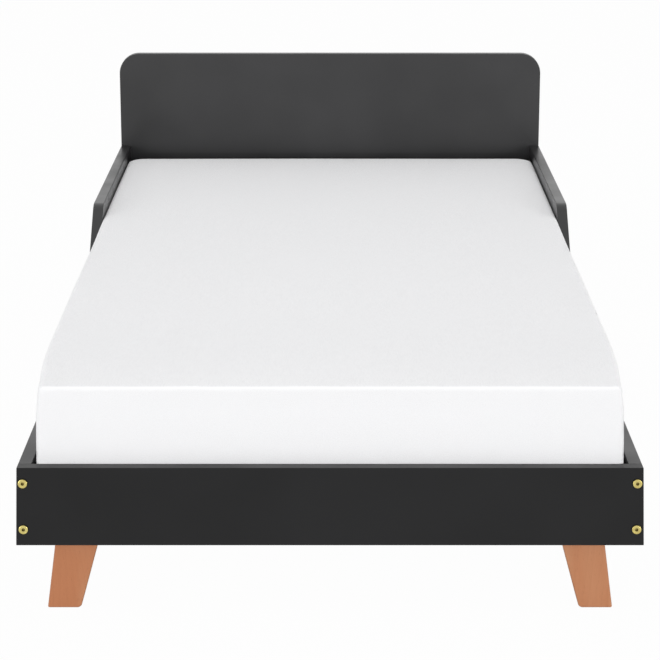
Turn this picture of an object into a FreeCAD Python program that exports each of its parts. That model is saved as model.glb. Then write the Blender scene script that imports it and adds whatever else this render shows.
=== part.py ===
# A junior bed for a 1400 x 700 mattress: boards on four splayed legs, a headboard,
# two short guard rails, a slatted base and a mattress in a fitted sheet.
# Millimetres. X runs across the bed, Y from the foot end to the head end, Z up.
# The origin is on the floor, under the middle of the bed.

import FreeCAD, Part
import math
import os

Vector = FreeCAD.Vector
RIGHT = Vector(1, 0, 0)
TO_HEAD = Vector(0, 1, 0)
UP = Vector(0, 0, 1)
SIDES = {"left": -1, "right": 1}
ENDS = {"front": -1, "back": 1}

# Driving dimensions of the bed. The frame is built round the mattress.
mattress_length = 1400.0
mattress_width = 700.0
mattress_side_gap = 5.0
head_gap = 28.0
board_thickness = 16.0
rail_height = 97.3
frame_clearance = 87.3
foot_board_flare = 3.6
headboard_rise = 281.0
headboard_corner_radius = 34.5
board_edge_radius = 0.7
same_place = 0.01
cut_overrun = 2.0

# Guard rails
guard_height = 117.4
guard_length = 630.0
guard_slope_length = 130.0
guard_nose_height = 9.0
guard_corner_radius = 30.0
guard_nose_radius = 4.0
guard_dowel_shares = (0.3, 0.8)
guard_plate_shares = (0.12, 0.62)

# Connector bolts, with a flat round head and a hex socket
bolt_diameter = 6.0
bolt_spare = 1.0
bolt_tip_chamfer = 0.8
bolt_head_diameter = 11.2
bolt_head_height = 2.4
bolt_head_rounding = 0.9
bolt_dish_diameter = 8.0
bolt_dish_depth = 0.3
bolt_socket_flats = 4.0
bolt_socket_depth = 2.3
bolt_hole_clearance = 0.5
bolt_top_inset = 19.3
bolt_bottom_inset = 20.4
bolt_top_shift = 1.2
bolt_bottom_shift = 2.1
bolt_bore_spare = 2.0

# Barrel nuts
nut_diameter = 10.0
nut_length = 11.0
nut_depth = 28.0
nut_clearance = 0.1
nut_slot_width = 1.4
nut_slot_depth = 1.0

# Dowels
dowel_diameter = 8.0
dowel_length = 30.0
dowel_board_depth = 9.0
dowel_chamfer = 1.0

# Wood screws. A bite is how far a screw goes into the piece that holds it.
screw_diameter = 4.0
screw_head_diameter = 8.0
screw_head_height = 2.4
screw_tip_length = 4.0
screw_recess_width = 1.0
screw_recess_span = 3.6
screw_recess_depth = 1.4
small_screw_share = 0.85
small_screw_bite = 11.5
ledger_screw_bite = 12.0
slat_screw_bite = 14.0
steady_screw_bite = 23.5

# Guard plates
plate_width = 18.0
plate_height = 52.0
plate_thickness = 1.5
plate_clearance = 1.0
plate_hole_shares = (-0.36, -0.16, 0.16, 0.36)

# Slatted base
ledger_width = 20.0
ledger_height = 20.0
ledger_end_gap = 10.0
ledger_screw_count = 5
ledger_screw_end = 110.0
slat_count = 13
slat_width = 58.0
slat_thickness = 12.0
slat_recess = 35.5
slat_side_clearance = 2.0
slat_end_gap = 20.0
slat_edge_radius = 1.0
strap_width = 25.0
strap_thickness = 1.2
strap_inset = 115.0
tack_head_diameter = 7.0
tack_head_height = 1.0
tack_diameter = 1.8
tack_bite = 7.8

# Legs. The leg's inset is from the inner face of the side rail.
leg_inset = 25.5
leg_top_width = 52.0
leg_top_depth = 48.0
leg_foot_width = 40.3
leg_foot_depth = 38.0
leg_splay = 12.0
leg_edge_radius = 1.8
leg_heel_radius = 6.0
glide_diameter = 24.0
glide_thickness = 1.2

# Leg brackets and their hardware
bracket_side_margin = 11.0
bracket_end_margin = 20.0
bracket_thickness = 2.5
bracket_flange = 12.5
bracket_corner_cut = 22.0
bracket_screw_shares = (0.2, 0.8)
hanger_diameter = 8.0
hanger_leg_depth = 42.0
hanger_spare = 3.4
hanger_tip_length = 6.0
washer_diameter = 17.0
washer_thickness = 1.6
washer_clearance = 0.3
hex_nut_flats = 13.0
hex_nut_height = 6.5
steady_screw_gap = 1.5

# Mattress, its cover and the fitted sheet. The outer form is the sheet's.
soft_clearance = 0.3
mattress_thickness = 130.0
mattress_shoulder_radius = 7.0
mattress_edge_radius = 6.0
sheet_thickness = 1.0
cover_thickness = 1.5
sheet_border = 85.0
sheet_corner_radius = 60.0
elastic_width = 8.0
# Between its rounded ends the mattress has a section at each of these shares of
# its length. The sheet draws each side in from its full bulge, by a share of the
# draw at the top, at mid height and at the bottom. The top rises to the head end
# by a share of its rise, and to a low crown in the middle.
sheet_draw = 8.0
head_rise = 6.7
crown_height = 1.5
section_shares = (0.0, 0.03, 0.12, 0.3, 0.5, 0.75, 1.0)
top_draw_shares = (0.63, 0.38, 0.03, 0.0, 0.0, 0.0, 0.06)
middle_draw_shares = (0.41, 0.22, 0.03, 0.0, 0.0, 0.0, 0.05)
bottom_draw_shares = (0.29, 0.3, 0.3, 0.3, 0.3, 0.3, 0.35)
rise_shares = (0.0, 0.28, 0.5, 0.64, 0.7, 0.79, 1.0)
crown_shares = (0.2, 0.4, 0.8, 1.0, 1.0, 0.7, 0.15)
# At the head end the upright corners are quarter ellipses, made of these turns.
head_corner_length = 38.0
head_corner_tuck = 33.0
quarter_shares = (0.0, 0.22, 0.44, 0.66, 0.83, 1.0)

# Places and lengths that follow from these sizes
inner_half_width = mattress_width / 2 + mattress_side_gap
half_width = inner_half_width + board_thickness
inner_length = mattress_length + head_gap
inner_half_length = inner_length / 2
half_length = inner_half_length + board_thickness
rail_bottom = frame_clearance
rail_top = rail_bottom + rail_height
rail_middle = half_width - board_thickness / 2
guard_top = rail_top + guard_height
headboard_top = rail_top + headboard_rise
slat_top = rail_top - slat_recess
slat_bottom = slat_top - slat_thickness
bolt_length = board_thickness + nut_depth + nut_diameter / 2 + bolt_spare
bolt_heights = (rail_bottom + bolt_bottom_inset, rail_top - bolt_top_inset)
bolt_sides = (rail_middle + bolt_bottom_shift, rail_middle + bolt_top_shift)
dowel_height = (rail_bottom + rail_top) / 2
guard_bolt_height = rail_top + guard_height / 2
ledger_inner = inner_half_width - ledger_width
strap_place = inner_half_width - strap_inset
leg_outer = inner_half_width - leg_inset
leg_middle = leg_outer - leg_top_width / 2
leg_back = inner_half_length - leg_top_depth / 2
bracket_width = leg_inset + leg_top_width + bracket_side_margin
bracket_depth = leg_top_depth + bracket_end_margin
hanger_rise = bracket_thickness + washer_thickness + hex_nut_height + hanger_spare
steady_screw_offset = (washer_diameter + screw_head_diameter) / 2 + steady_screw_gap
mattress_bottom = slat_top + soft_clearance
mattress_foot = -inner_half_length + soft_clearance
side_bulge = mattress_side_gap - plate_thickness - plate_clearance
small_screw_diameter = screw_diameter * small_screw_share
small_screw_head = screw_head_diameter * small_screw_share


def block(x_range, y_range, z_range):
    low = Vector(min(x_range), min(y_range), min(z_range))
    high = Vector(max(x_range), max(y_range), max(z_range))
    size = high - low
    return Part.makeBox(size.x, size.y, size.z, low)


def rod(start, direction, length, radius):
    return Part.makeCylinder(radius, length, start, direction)


def placed(solid, point, direction):
    # The solid was made at the origin with its outer end towards +Z.
    turned = solid.copy()
    turned.Placement = FreeCAD.Placement(point, FreeCAD.Rotation(UP, direction))
    return turned


def prism(corners, thickness):
    outline = Part.makePolygon(corners + corners[:1])
    return Part.Face(outline).extrude(thickness)


def hexagon(flats, height, base):
    radius = flats / math.sqrt(3)
    angles = [math.tau * turn / 6 for turn in range(6)]
    corners = [base + Vector(radius * math.cos(a), radius * math.sin(a), 0) for a in angles]
    return prism(corners, UP * height)


def lies_in(edge, axis, place):
    box = edge.BoundBox
    low = getattr(box, axis + "Min")
    high = getattr(box, axis + "Max")
    return abs(low - place) < same_place and abs(high - place) < same_place


def eased(solid, radius, joints=()):
    # Rounds every edge but those that lie in a plane where another piece butts.
    edges = [e for e in solid.Edges if not any(lies_in(e, axis, place) for axis, place in joints)]
    return solid.makeFillet(radius, edges)


def without(solid, cutters):
    return solid.cut(Part.makeCompound(cutters)) if cutters else solid


def make_bolt():
    head = rod(Vector(0, 0, 0), UP, bolt_head_height, bolt_head_diameter / 2)
    rim = [e for e in head.Edges if lies_in(e, "Z", bolt_head_height)]
    head = head.makeFillet(bolt_head_rounding, rim)
    dish_floor = bolt_head_height - bolt_dish_depth
    dish = rod(UP * dish_floor, UP, bolt_dish_depth + cut_overrun, bolt_dish_diameter / 2)
    socket_floor = UP * (dish_floor - bolt_socket_depth)
    socket = hexagon(bolt_socket_flats, bolt_socket_depth + cut_overrun, socket_floor)
    shank = rod(Vector(0, 0, 0), UP * -1, bolt_length, bolt_diameter / 2)
    tip = [e for e in shank.Edges if lies_in(e, "Z", -bolt_length)]
    shank = shank.makeChamfer(bolt_tip_chamfer, tip)
    return head.fuse(shank).cut(dish).cut(socket).removeSplitter()


def make_barrel_nut():
    # Its length lies along Z and its threaded cross hole along Y.
    low = UP * (-nut_length / 2)
    body = rod(low, UP, nut_length, nut_diameter / 2)
    thread = rod(TO_HEAD * -nut_diameter, TO_HEAD, 2 * nut_diameter, bolt_diameter / 2)
    slot_floor = nut_length / 2 - nut_slot_depth
    slot = block(
        (-nut_diameter, nut_diameter),
        (-nut_slot_width / 2, nut_slot_width / 2),
        (slot_floor, slot_floor + nut_slot_depth + cut_overrun),
    )
    return body.cut(thread).cut(slot)


def make_dowel():
    reach = dowel_length / 2
    body = rod(UP * -reach, UP, dowel_length, dowel_diameter / 2)
    ends = [e for e in body.Edges if lies_in(e, "Z", reach) or lies_in(e, "Z", -reach)]
    return body.makeChamfer(dowel_chamfer, ends)


def make_screw(length, diameter, head_diameter):
    # A countersunk screw. Its flat head ends at the origin's level.
    radius = diameter / 2
    profile = [
        Vector(0, 0, 0),
        Vector(head_diameter / 2, 0, 0),
        Vector(radius, 0, -screw_head_height),
        Vector(radius, 0, screw_tip_length - length),
        Vector(0, 0, -length),
    ]
    outline = Part.Face(Part.makePolygon(profile + profile[:1]))
    body = outline.revolve(Vector(0, 0, 0), UP, 360)
    half_span = screw_recess_span / 2
    half_slot = screw_recess_width / 2
    depths = (-screw_recess_depth, cut_overrun)
    recess = [
        block((-half_span, half_span), (-half_slot, half_slot), depths),
        block((-half_slot, half_slot), (-half_span, half_span), depths),
    ]
    return body, body.cut(recess[0].fuse(recess[1]))


def screw_set(places, length, diameter=screw_diameter, head=screw_head_diameter):
    # The screws, and the plain shapes that cut their holes.
    plain, screw = make_screw(length, diameter, head)
    screws = [placed(screw, point, out) for point, out in places]
    holes = [placed(plain, point, out) for point, out in places]
    return screws, holes


# Where the fasteners go: each place is a point and the way the head faces

def bolt_places(end):
    face = TO_HEAD * (end * half_length)
    return [
        (face + Vector(side * across, 0, height), TO_HEAD * end)
        for side in SIDES.values()
        for across, height in zip(bolt_sides, bolt_heights)
    ]


def guard_bolt_places():
    face = TO_HEAD * half_length
    across = bolt_sides[1]
    return [(face + Vector(side * across, 0, guard_bolt_height), TO_HEAD) for side in SIDES.values()]


def nut_places(bolts):
    reach = board_thickness + nut_depth
    return [(point - out * reach, RIGHT * -math.copysign(1, point.x)) for point, out in bolts]


def frame_dowel_places(end):
    middle = inner_half_length + dowel_board_depth - dowel_length / 2
    return [
        (Vector(side * rail_middle, end * middle, dowel_height), TO_HEAD * end)
        for side in SIDES.values()
    ]


def guard_dowel_places():
    return [
        (Vector(side * rail_middle, inner_half_length - share * guard_length, rail_top), UP)
        for side in SIDES.values()
        for share in guard_dowel_shares
    ]


def guard_plate_centres(side):
    return [
        Vector(side * inner_half_width, inner_half_length - share * guard_length, rail_top)
        for share in guard_plate_shares
    ]


def guard_plate_screw_places():
    return [
        (centre + RIGHT * (-side * plate_thickness) + UP * (share * plate_height), RIGHT * -side)
        for side in SIDES.values()
        for centre in guard_plate_centres(side)
        for share in plate_hole_shares
    ]


def ledger_screw_places():
    first = -inner_half_length + ledger_screw_end
    step = -2 * first / (ledger_screw_count - 1)
    height = slat_bottom - ledger_height / 2
    return [
        (Vector(side * ledger_inner, first + step * number, height), RIGHT * -side)
        for side in SIDES.values()
        for number in range(ledger_screw_count)
    ]


def slat_centre(number):
    first = -inner_half_length + slat_end_gap + slat_width / 2
    return first - 2 * first * number / (slat_count - 1)


def slat_screw_places():
    across = inner_half_width - ledger_width / 2
    return [
        (Vector(side * across, slat_centre(number), slat_top), UP)
        for side in SIDES.values()
        for number in (0, slat_count - 1)
    ]


def tack_places():
    level = slat_bottom - strap_thickness
    return [
        (Vector(side * strap_place, slat_centre(number), level), UP * -1)
        for side in SIDES.values()
        for number in range(slat_count)
    ]


def leg_axes():
    return [
        Vector(side * leg_middle, end * leg_back, rail_bottom)
        for end in ENDS.values()
        for side in SIDES.values()
    ]


def steady_screw_places():
    top = UP * bracket_thickness
    return [(axis + top + TO_HEAD * -math.copysign(steady_screw_offset, axis.y), UP) for axis in leg_axes()]


def bracket_screw_places():
    level = rail_bottom + (bracket_thickness + bracket_flange) / 2
    places = []
    for side in SIDES.values():
        for end in ENDS.values():
            for share in bracket_screw_shares:
                along = end * (inner_half_length - share * bracket_depth)
                face = side * (inner_half_width - bracket_thickness)
                places.append((Vector(face, along, level), RIGHT * -side))
                across = side * (inner_half_width - share * bracket_width)
                face = end * (inner_half_length - bracket_thickness)
                places.append((Vector(across, face, level), TO_HEAD * -end))
    return places


# Holes that the fasteners need in the boards

def bolt_holes(bolts):
    radius = bolt_diameter / 2 + bolt_hole_clearance
    depth = bolt_length + bolt_bore_spare
    return [rod(point + out * cut_overrun, out * -1, depth + cut_overrun, radius) for point, out in bolts]


def nut_holes(nuts):
    reach = nut_length / 2
    depth = bolt_sides[0] - inner_half_width + reach + cut_overrun
    return [rod(point - out * reach, out, depth, nut_diameter / 2 + nut_clearance) for point, out in nuts]


def dowel_holes(dowels):
    radius = dowel_diameter / 2
    return [rod(point - out * (dowel_length / 2), out, dowel_length, radius) for point, out in dowels]


foot_bolt_places = bolt_places(ENDS["front"])
head_bolt_places = bolt_places(ENDS["back"])
rail_nut_places = nut_places(foot_bolt_places + head_bolt_places)
guard_nut_places = nut_places(guard_bolt_places())
frame_dowels = frame_dowel_places(ENDS["front"]) + frame_dowel_places(ENDS["back"])
ledger_screws, ledger_screw_holes = screw_set(ledger_screw_places(), ledger_width + ledger_screw_bite)
slat_screws, slat_screw_holes = screw_set(slat_screw_places(), slat_thickness + slat_screw_bite)
steady_screws, steady_screw_holes = screw_set(steady_screw_places(), bracket_thickness + steady_screw_bite)
plate_screws, plate_screw_holes = screw_set(
    guard_plate_screw_places(), plate_thickness + small_screw_bite, small_screw_diameter, small_screw_head
)
bracket_screws, bracket_screw_holes = screw_set(
    bracket_screw_places(), bracket_thickness + small_screw_bite, small_screw_diameter, small_screw_head
)


# Boards

def make_foot_board():
    # Its ends aren't quite upright: it is a little wider at the bottom.
    wide = half_width + foot_board_flare
    corners = [
        Vector(-half_width, -half_length, rail_top),
        Vector(half_width, -half_length, rail_top),
        Vector(wide, -half_length, rail_bottom),
        Vector(-wide, -half_length, rail_bottom),
    ]
    board = eased(prism(corners, TO_HEAD * board_thickness), board_edge_radius)
    return without(board, bolt_holes(foot_bolt_places) + dowel_holes(frame_dowels) + bracket_screw_holes)


def make_headboard():
    board = block((-half_width, half_width), (inner_half_length, half_length), (rail_bottom, headboard_top))
    corners = [
        e for e in board.Edges
        if lies_in(e, "Z", headboard_top) and (lies_in(e, "X", half_width) or lies_in(e, "X", -half_width))
    ]
    board = board.makeFillet(headboard_corner_radius, corners)
    board = eased(board, board_edge_radius)
    bolts = head_bolt_places + guard_bolt_places()
    return without(board, bolt_holes(bolts) + dowel_holes(frame_dowels) + bracket_screw_holes)


def make_side_rail(side):
    rail = block(
        (side * inner_half_width, side * half_width),
        (-inner_half_length, inner_half_length),
        (rail_bottom, rail_top),
    )
    rail = eased(rail, board_edge_radius, [("Y", -inner_half_length), ("Y", inner_half_length)])
    bolts = bolt_holes(foot_bolt_places + head_bolt_places) + nut_holes(rail_nut_places)
    dowels = dowel_holes(frame_dowels + guard_dowel_places())
    return without(rail, bolts + dowels + ledger_screw_holes + plate_screw_holes + bracket_screw_holes)


def make_guard_rail(side):
    inner = side * inner_half_width
    head = inner_half_length
    shoulder_place = head - guard_length + guard_slope_length
    corners = [
        Vector(inner, head, rail_top),
        Vector(inner, head - guard_length, rail_top),
        Vector(inner, head - guard_length, rail_top + guard_nose_height),
        Vector(inner, shoulder_place, guard_top),
        Vector(inner, head, guard_top),
    ]
    guard = prism(corners, RIGHT * (side * board_thickness))
    nose = [
        e for e in guard.Edges
        if lies_in(e, "Y", head - guard_length) and lies_in(e, "Z", rail_top + guard_nose_height)
    ]
    shoulder = [e for e in guard.Edges if lies_in(e, "Y", shoulder_place) and lies_in(e, "Z", guard_top)]
    guard = guard.makeFillet(guard_nose_radius, nose)
    guard = guard.makeFillet(guard_corner_radius, matching_edges(guard, shoulder))
    guard = eased(guard, board_edge_radius, [("Z", rail_top), ("Y", head)])
    bolts = bolt_holes(guard_bolt_places()) + nut_holes(guard_nut_places)
    return without(guard, bolts + dowel_holes(guard_dowel_places()) + plate_screw_holes)


def matching_edges(solid, edges):
    # The same edges after another feature has rebuilt the solid.
    centres = [e.CenterOfMass for e in edges]
    return [e for e in solid.Edges if any((e.CenterOfMass - c).Length < same_place for c in centres)]


def make_guard_plates():
    half = plate_width / 2
    plates = []
    for side in SIDES.values():
        for centre in guard_plate_centres(side):
            plates.append(block(
                (centre.x, centre.x - side * plate_thickness),
                (centre.y - half, centre.y + half),
                (centre.z - plate_height / 2, centre.z + plate_height / 2),
            ))
    return [without(plate, plate_screw_holes) for plate in plates]


# Slatted base

def make_ledger(side):
    reach = inner_half_length - ledger_end_gap
    ledger = block(
        (side * ledger_inner, side * inner_half_width),
        (-reach, reach),
        (slat_bottom - ledger_height, slat_bottom),
    )
    return without(ledger, ledger_screw_holes + slat_screw_holes)


def make_slat(number):
    reach = inner_half_width - slat_side_clearance
    middle = slat_centre(number)
    slat = block(
        (-reach, reach),
        (middle - slat_width / 2, middle + slat_width / 2),
        (slat_bottom, slat_top),
    )
    slat = eased(slat, slat_edge_radius, [("X", -reach), ("X", reach)])
    cutters = [hole for hole in slat_screw_holes if hole.BoundBox.intersect(slat.BoundBox)]
    return without(slat, cutters + tack_holes(slat))


def tack_holes(piece):
    length = strap_thickness + tack_bite
    holes = [rod(point, out * -1, length, tack_diameter / 2) for point, out in tack_places()]
    return [hole for hole in holes if hole.BoundBox.intersect(piece.BoundBox)]


def make_strap(side):
    reach = inner_half_length - slat_end_gap
    half = strap_width / 2
    strap = block(
        (side * strap_place - half, side * strap_place + half),
        (-reach, reach),
        (slat_bottom - strap_thickness, slat_bottom),
    )
    return without(strap, tack_holes(strap))


def make_tack():
    head = rod(Vector(0, 0, 0), UP, tack_head_height, tack_head_diameter / 2)
    shank = rod(Vector(0, 0, 0), UP * -1, strap_thickness + tack_bite, tack_diameter / 2)
    return head.fuse(shank)


# Legs, made for the right side of the head end and mirrored to the other corners

def mirrored(shape, side, end):
    if side < 0:
        shape = shape.mirror(Vector(0, 0, 0), RIGHT)
    if end < 0:
        shape = shape.mirror(Vector(0, 0, 0), TO_HEAD)
    return shape


def level_rectangle(x_range, y_range, level):
    corners = [
        Vector(x_range[0], y_range[0], level),
        Vector(x_range[1], y_range[0], level),
        Vector(x_range[1], y_range[1], level),
        Vector(x_range[0], y_range[1], level),
    ]
    return Part.makePolygon(corners + corners[:1])


def make_leg(side, end):
    foot_outer = leg_outer + leg_splay
    foot_inner = foot_outer - leg_foot_width
    top = level_rectangle(
        (leg_outer - leg_top_width, leg_outer),
        (inner_half_length - leg_top_depth, inner_half_length),
        rail_bottom,
    )
    foot = level_rectangle(
        (foot_inner, foot_outer),
        (inner_half_length - leg_foot_depth, inner_half_length),
        glide_thickness,
    )
    leg = Part.makeLoft([foot, top], True, True)
    heel = [e for e in leg.Edges if lies_in(e, "Z", glide_thickness) and lies_in(e, "X", foot_inner)]
    leg = leg.makeFillet(leg_heel_radius, heel)
    leg = eased(leg, leg_edge_radius, [("Z", rail_bottom)])
    axis = Vector(leg_middle, leg_back, rail_bottom)
    hanger_hole = rod(axis, UP * -1, hanger_leg_depth, hanger_diameter / 2)
    return mirrored(without(leg, [hanger_hole] + steady_screw_holes), side, end)


def make_glides():
    across = leg_outer + leg_splay - leg_foot_width / 2
    along = inner_half_length - leg_foot_depth / 2
    return [
        rod(Vector(side * across, end * along, 0), UP, glide_thickness, glide_diameter / 2)
        for end in ENDS.values()
        for side in SIDES.values()
    ]


def make_bracket(side, end):
    outer = inner_half_width
    inner = outer - bracket_width
    head = inner_half_length
    foot = head - bracket_depth
    corners = [
        Vector(outer, head, rail_bottom),
        Vector(inner, head, rail_bottom),
        Vector(inner, foot + bracket_corner_cut, rail_bottom),
        Vector(inner + bracket_corner_cut, foot, rail_bottom),
        Vector(outer, foot, rail_bottom),
    ]
    plate = prism(corners, UP * bracket_thickness)
    heights = (rail_bottom, rail_bottom + bracket_flange)
    rail_flange = block((outer - bracket_thickness, outer), (foot, head), heights)
    board_flange = block((inner, outer), (head - bracket_thickness, head), heights)
    bracket = plate.fuse([rail_flange, board_flange]).removeSplitter()
    axis = Vector(leg_middle, leg_back, rail_bottom - cut_overrun)
    hanger_hole = rod(axis, UP, bracket_thickness + 2 * cut_overrun, hanger_diameter / 2 + washer_clearance)
    return mirrored(without(bracket, [hanger_hole] + steady_screw_holes + bracket_screw_holes), side, end)


def make_hanger_bolt():
    radius = hanger_diameter / 2
    profile = [
        Vector(0, 0, hanger_rise),
        Vector(radius - bolt_tip_chamfer, 0, hanger_rise),
        Vector(radius, 0, hanger_rise - bolt_tip_chamfer),
        Vector(radius, 0, hanger_tip_length - hanger_leg_depth),
        Vector(0, 0, -hanger_leg_depth),
    ]
    outline = Part.Face(Part.makePolygon(profile + profile[:1]))
    return outline.revolve(Vector(0, 0, 0), UP, 360)


def make_washer():
    base = UP * bracket_thickness
    disc = rod(base, UP, washer_thickness, washer_diameter / 2)
    return disc.cut(rod(base, UP, washer_thickness, hanger_diameter / 2 + washer_clearance))


def make_hex_nut():
    base = UP * (bracket_thickness + washer_thickness)
    nut = hexagon(hex_nut_flats, hex_nut_height, base)
    return nut.cut(rod(base, UP, hex_nut_height, hanger_diameter / 2))


# Mattress

def mattress_section(along, number, inset, end_tuck=0, end_drop=0):
    half = mattress_width / 2 + side_bulge - inset - end_tuck
    bottom = mattress_bottom + inset
    top = mattress_bottom + mattress_thickness + head_rise * rise_shares[number] - inset - end_drop
    radius = mattress_shoulder_radius - inset
    top_half = half - sheet_draw * top_draw_shares[number]
    middle_half = half - sheet_draw * middle_draw_shares[number]
    bottom_half = half - sheet_draw * bottom_draw_shares[number]
    crown = top + crown_height * crown_shares[number]
    side_top = top - radius
    bend = radius * math.sqrt(0.5)
    points = [
        Vector(bottom_half, along, bottom),
        Vector(middle_half, along, (bottom + side_top) / 2),
        Vector(top_half, along, side_top),
        Vector(top_half - radius + bend, along, side_top + bend),
        Vector(top_half - radius, along, top),
    ]
    left = [Vector(-p.x, p.y, p.z) for p in points]
    return Part.Wire([
        Part.makeLine(left[0], points[0]),
        Part.Arc(points[0], points[1], points[2]).toShape(),
        Part.Arc(points[2], points[3], points[4]).toShape(),
        Part.Arc(points[4], Vector(0, along, crown), left[4]).toShape(),
        Part.Arc(left[4], left[3], left[2]).toShape(),
        Part.Arc(left[2], left[1], left[0]).toShape(),
    ])


def mattress_form(inset):
    # The same form at any depth under the sheet: a rounded foot edge, the long
    # body, and the head end with its corners drawn in.
    edge = mattress_edge_radius - inset
    corner_length = head_corner_length - inset
    corner_tuck = head_corner_tuck - inset
    foot = mattress_foot + mattress_edge_radius
    head = mattress_foot + mattress_length - head_corner_length
    foot_end = []
    head_end = []
    for share in quarter_shares:
        turn = share * math.pi / 2
        ahead = math.sin(turn)
        aside = 1 - math.cos(turn)
        drop = edge * aside
        tuck = corner_tuck * aside
        foot_end.append(mattress_section(foot - edge * ahead, 0, inset, drop, drop))
        head_end.append(mattress_section(head + corner_length * ahead, -1, inset, tuck, drop))
    body = [
        mattress_section(foot + share * (head - foot), number, inset)
        for number, share in enumerate(section_shares)
    ]
    lofts = [Part.makeLoft(sections, True, False) for sections in (foot_end, body, head_end)]
    return lofts[1].fuse([lofts[0], lofts[2]])


def rounded_prism(half_x, y_range, z_range, radius):
    solid = block((-half_x, half_x), y_range, z_range)
    upright = [e for e in solid.Edges if e.BoundBox.ZLength > max(z_range) - min(z_range) - same_place]
    return solid.makeFillet(radius, upright)


def sheet_opening(border):
    # The opening in the underside of the sheet, inside its border.
    y_range = (mattress_foot + border, mattress_foot + mattress_length - border)
    z_range = (mattress_bottom, mattress_bottom + sheet_thickness)
    radius = sheet_corner_radius + sheet_border - border
    return rounded_prism(mattress_width / 2 - border, y_range, z_range, radius)


def make_mattress():
    cover_inset = sheet_thickness + soft_clearance
    cover_inner = cover_inset + cover_thickness
    opening = sheet_opening(sheet_border)
    sheet = mattress_form(0).cut(mattress_form(sheet_thickness)).cut(opening)
    elastic = opening.cut(sheet_opening(sheet_border + elastic_width))
    cover = mattress_form(cover_inset).cut(mattress_form(cover_inner))
    foam = mattress_form(cover_inner + soft_clearance)
    return {"fitted_sheet": sheet, "sheet_elastic": elastic, "mattress_cover": cover, "mattress_foam": foam}


# The pieces, each under the name of its node

def group(solid, places):
    return Part.makeCompound([placed(solid, point, out) for point, out in places])


def make_pieces():
    pieces = {"foot_board": make_foot_board(), "headboard": make_headboard()}
    for name, side in SIDES.items():
        pieces[name + "_side_rail"] = make_side_rail(side)
        pieces[name + "_guard_rail"] = make_guard_rail(side)
        pieces[name + "_slat_ledger"] = make_ledger(side)
        pieces[name + "_slat_strap"] = make_strap(side)
        for end_name, end in ENDS.items():
            pieces[f"{end_name}_{name}_leg"] = make_leg(side, end)
            pieces[f"{end_name}_{name}_leg_bracket"] = make_bracket(side, end)
    for number in range(slat_count):
        pieces[f"slat_{number + 1:02d}"] = make_slat(number)
    upright_axes = [(axis, UP) for axis in leg_axes()]
    pieces["foot_bolts"] = group(make_bolt(), foot_bolt_places)
    pieces["head_bolts"] = group(make_bolt(), head_bolt_places)
    pieces["guard_bolts"] = group(make_bolt(), guard_bolt_places())
    pieces["rail_barrel_nuts"] = group(make_barrel_nut(), rail_nut_places)
    pieces["guard_barrel_nuts"] = group(make_barrel_nut(), guard_nut_places)
    pieces["frame_dowels"] = group(make_dowel(), frame_dowels)
    pieces["guard_dowels"] = group(make_dowel(), guard_dowel_places())
    pieces["guard_plates"] = Part.makeCompound(make_guard_plates())
    pieces["guard_plate_screws"] = Part.makeCompound(plate_screws)
    pieces["ledger_screws"] = Part.makeCompound(ledger_screws)
    pieces["slat_screws"] = Part.makeCompound(slat_screws)
    pieces["strap_tacks"] = group(make_tack(), tack_places())
    pieces["leg_bracket_screws"] = Part.makeCompound(bracket_screws)
    pieces["leg_steady_screws"] = Part.makeCompound(steady_screws)
    pieces["leg_hanger_bolts"] = group(make_hanger_bolt(), upright_axes)
    pieces["leg_washers"] = group(make_washer(), upright_axes)
    pieces["leg_nuts"] = group(make_hex_nut(), upright_axes)
    pieces["leg_glides"] = Part.makeCompound(make_glides())
    pieces.update(make_mattress())
    return pieces


os.makedirs("parts", exist_ok=True)
for node, shape in make_pieces().items():
    shape.exportStep("parts/" + node + ".step")
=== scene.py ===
import math

import bmesh
import bpy
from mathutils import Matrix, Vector, noise


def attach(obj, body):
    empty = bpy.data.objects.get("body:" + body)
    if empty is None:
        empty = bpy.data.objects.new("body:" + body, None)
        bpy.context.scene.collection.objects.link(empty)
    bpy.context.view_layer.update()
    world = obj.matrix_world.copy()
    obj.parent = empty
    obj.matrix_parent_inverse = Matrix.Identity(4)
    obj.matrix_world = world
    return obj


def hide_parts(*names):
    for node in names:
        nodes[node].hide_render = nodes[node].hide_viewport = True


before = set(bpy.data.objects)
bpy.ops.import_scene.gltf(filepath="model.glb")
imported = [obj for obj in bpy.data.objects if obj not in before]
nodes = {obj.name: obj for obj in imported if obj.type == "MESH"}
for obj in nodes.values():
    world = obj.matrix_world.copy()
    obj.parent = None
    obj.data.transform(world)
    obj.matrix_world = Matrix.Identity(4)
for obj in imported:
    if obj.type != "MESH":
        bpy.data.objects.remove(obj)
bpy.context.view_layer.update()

print("frame loaded:", len(nodes), "CAD nodes")


def tint(red, green, blue):
    # a colour as a paint chart gives it, 0 to 255, in Blender's linear values
    def linear(value):
        value /= 255
        return value / 12.92 if value <= 0.04045 else ((value + 0.055) / 1.055) ** 2.4
    return (linear(red), linear(green), linear(blue), 1)


def deselectAll():
    if bpy.context.mode != "OBJECT":
        bpy.ops.object.mode_set(mode="OBJECT")
    bpy.ops.object.select_all(action="DESELECT")


def pickObject(piece):
    deselectAll()
    piece.select_set(True)
    bpy.context.view_layer.objects.active = piece


def feed(tree, socket, value):
    if isinstance(value, bpy.types.NodeSocket):
        tree.links.new(value, socket)
    else:
        socket.default_value = value


nodeLayout = {"across": 220, "down": 260, "perRow": 9}


def layNode(tree, node):
    # new nodes stand in rows, so that the tree can be read
    row, column = divmod(len(tree.nodes), nodeLayout["perRow"])
    node.location = (nodeLayout["across"] * column, -nodeLayout["down"] * row)


def addNode(tree, kind, inputs=None, **settings):
    node = tree.nodes.new("ShaderNode" + kind)
    layNode(tree, node)
    for name, value in settings.items():
        setattr(node, name, value)
    for name, value in (inputs or {}).items():
        feed(tree, node.inputs[name], value)
    return node


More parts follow.
